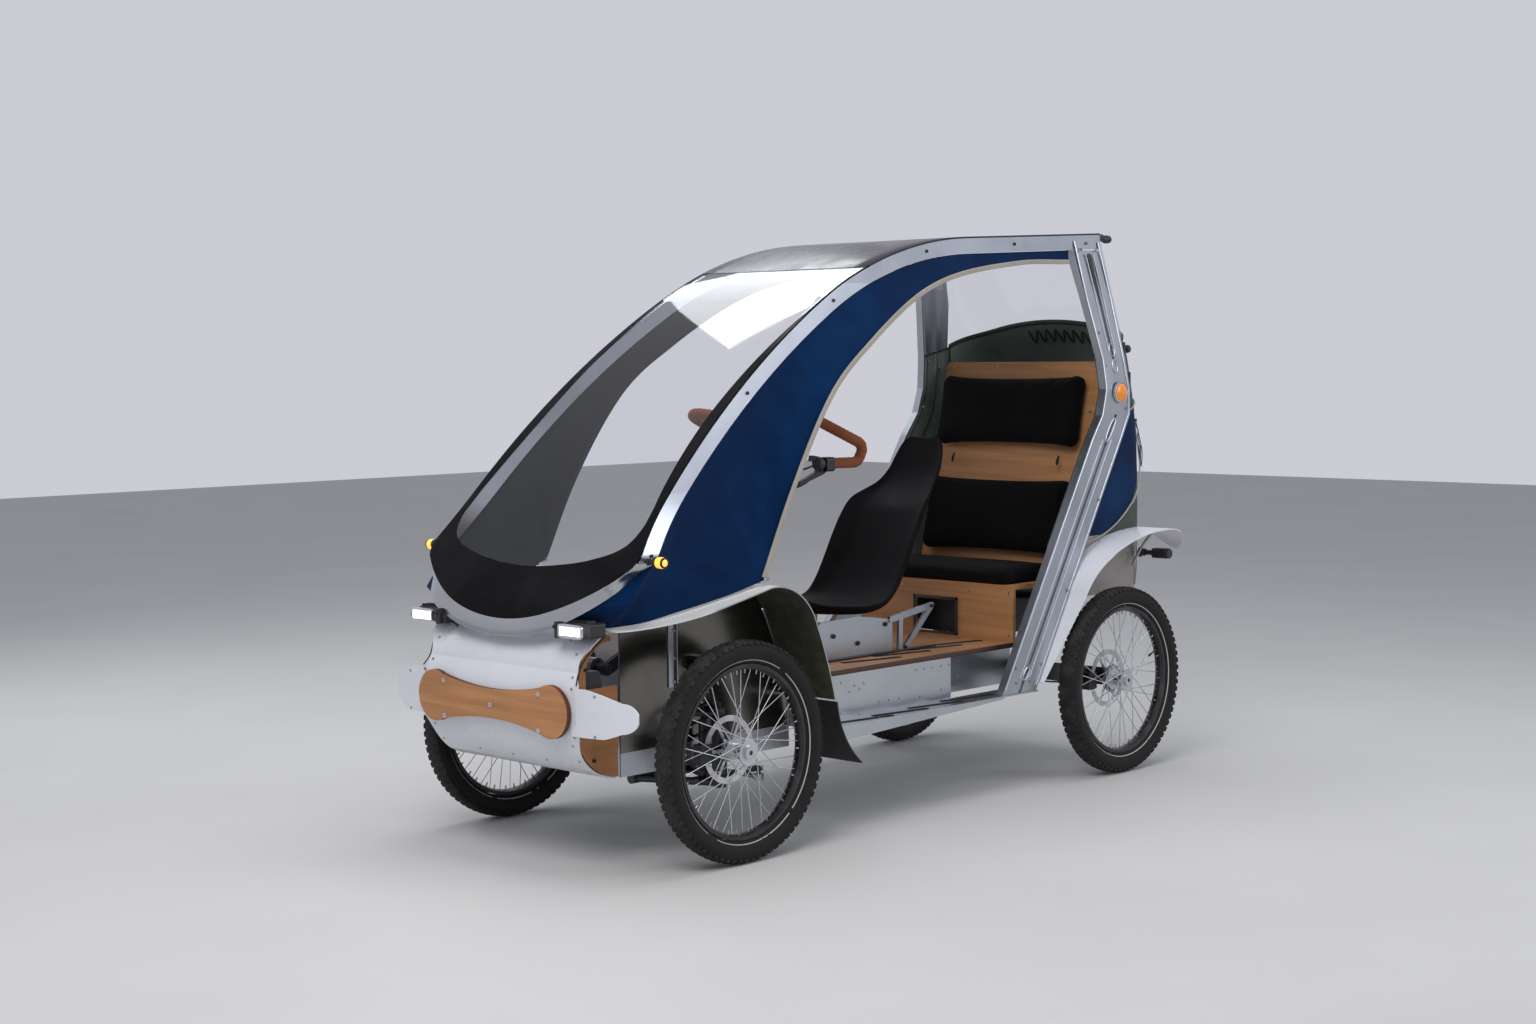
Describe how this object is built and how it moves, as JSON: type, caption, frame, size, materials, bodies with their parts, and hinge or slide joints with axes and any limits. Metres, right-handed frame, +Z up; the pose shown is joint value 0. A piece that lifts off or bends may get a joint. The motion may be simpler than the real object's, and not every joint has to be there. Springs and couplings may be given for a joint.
{
  "type": "four-wheeled velomobile",
  "caption": "Open-sided pedal vehicle: curved clear windscreen on an aluminium hoop, canvas sides, bucket seat, rear bench, plywood deck and spoked wheels with steering.",
  "frame": {"origin": "centre of the footprint, on the road under the tyres, midway between the bumper plate and the rear fender tips", "axes": "+X to the rider's left, +Y to the rear so that the front faces -Y, +Z up"},
  "size_m": [0.894, 2.249, 1.5],
  "materials": {
    "clear_sheet": "clear, glossy thin plastic sheet",
    "black_sheet": "glossy dark sheet",
    "aluminium": "bare rolled aluminium, satin",
    "blue_canvas": "coated woven canvas",
    "grey_canvas": "coated woven canvas",
    "tyre": "matt rubber",
    "wheel_metal": "silver spokes and hub, black rim",
    "steel": "dark satin paint",
    "plywood": "clear varnished plywood",
    "cushion_fabric": "plain black upholstery",
    "white_sheet": "satin white sheet",
    "rubber_flap": "matt black sheet",
    "dark_plastic": "moulded black plastic",
    "amber_plastic": "amber lamp lens on a dark body",
    "grip_tape": "brown wrapped tape on a dark bar"
  },
  "bodies": {
    "chassis": {"windscreen": "clear_sheet", "roof_panel": "black_sheet", "canopy_hoop": "aluminium", "side_canvases": "blue_canvas", "door_trims": "aluminium", "front_suspension": "steel", "rear_suspension": "steel", "chassis_frame": "aluminium", "deck": "plywood", "running_boards": "aluminium", "front_floor": "aluminium", "bench_back": "plywood", "bench_box": "plywood", "lower_back_cushion": "cushion_fabric", "upper_back_cushion": "cushion_fabric", "seat_cushion": "cushion_fabric", "battery_pack": "dark_plastic", "driver_seat": "cushion_fabric", "seat_rail": "aluminium", "nose_panel": "white_sheet", "nose_cheeks": "plywood", "bumper_plate": "plywood", "headlights": "dark_plastic", "front_wings": "white_sheet", "mud_flaps": "rubber_flap", "arch_panels": "aluminium", "rear_posts": "aluminium", "rear_canvas": "grey_canvas", "rear_window": "clear_sheet", "rear_fenders": "white_sheet", "turn_signals": "amber_plastic", "rear_lamps": "dark_plastic", "steering_column": "steel", "pedal_mast": "aluminium"},
    "handlebar": {"handlebar": "grip_tape"},
    "left_knuckle": {"left_knuckle": "steel"},
    "right_knuckle": {"right_knuckle": "steel"},
    "tie_rod": {"tie_rod": "steel"},
    "crankset": {"crankset": "steel"},
    "front_left_wheel_body": {"front_left_tyre": "tyre", "front_left_wheel": "wheel_metal"},
    "front_right_wheel_body": {"front_right_tyre": "tyre", "front_right_wheel": "wheel_metal"},
    "rear_left_wheel_body": {"rear_left_tyre": "tyre", "rear_left_wheel": "wheel_metal"},
    "rear_right_wheel_body": {"rear_right_tyre": "tyre", "rear_right_wheel": "wheel_metal"}
  },
  "joints": [
    {"name": "handlebar_turn", "type": "hinge", "parent": "chassis", "child": "handlebar", "pos_m": [0, -0.2735, 0.85], "axis": [0, 0.4531, 0.8915], "range_deg": [-30, 30]},
    {"name": "left_steer", "type": "hinge", "parent": "chassis", "child": "left_knuckle", "pos_m": [0.345, -0.7255, 0.259], "axis": [0, 0, 1], "range_deg": [-25, 25]},
    {"name": "right_steer", "type": "hinge", "parent": "chassis", "child": "right_knuckle", "pos_m": [-0.345, -0.7255, 0.259], "axis": [0, 0, 1], "range_deg": [-25, 25]},
    {"name": "tie_rod_turn", "type": "hinge", "parent": "left_knuckle", "child": "tie_rod", "pos_m": [0.345, -0.5955, 0.174], "axis": [0, 0, 1], "range_deg": [-25, 25]},
    {"name": "front_left_spin", "type": "hinge", "parent": "left_knuckle", "child": "front_left_wheel_body", "pos_m": [0.416, -0.7255, 0.259], "axis": [1, 0, 0], "continuous": true},
    {"name": "front_right_spin", "type": "hinge", "parent": "right_knuckle", "child": "front_right_wheel_body", "pos_m": [-0.416, -0.7255, 0.259], "axis": [1, 0, 0], "continuous": true},
    {"name": "rear_left_spin", "type": "hinge", "parent": "chassis", "child": "rear_left_wheel_body", "pos_m": [0.402, 0.7945, 0.259], "axis": [1, 0, 0], "continuous": true},
    {"name": "rear_right_spin", "type": "hinge", "parent": "chassis", "child": "rear_right_wheel_body", "pos_m": [-0.402, 0.7945, 0.259], "axis": [1, 0, 0], "continuous": true},
    {"name": "crank_spin", "type": "hinge", "parent": "chassis", "child": "crankset", "pos_m": [0, -0.8255, 0.43], "axis": [1, 0, 0], "continuous": true}
  ],
  "couplings": [
    {"joint": "left_steer", "follows": "handlebar_turn", "ratio": 0.83333},
    {"joint": "right_steer", "follows": "handlebar_turn", "ratio": 0.83333},
    {"joint": "tie_rod_turn", "follows": "handlebar_turn", "ratio": -0.83333}
  ]
}
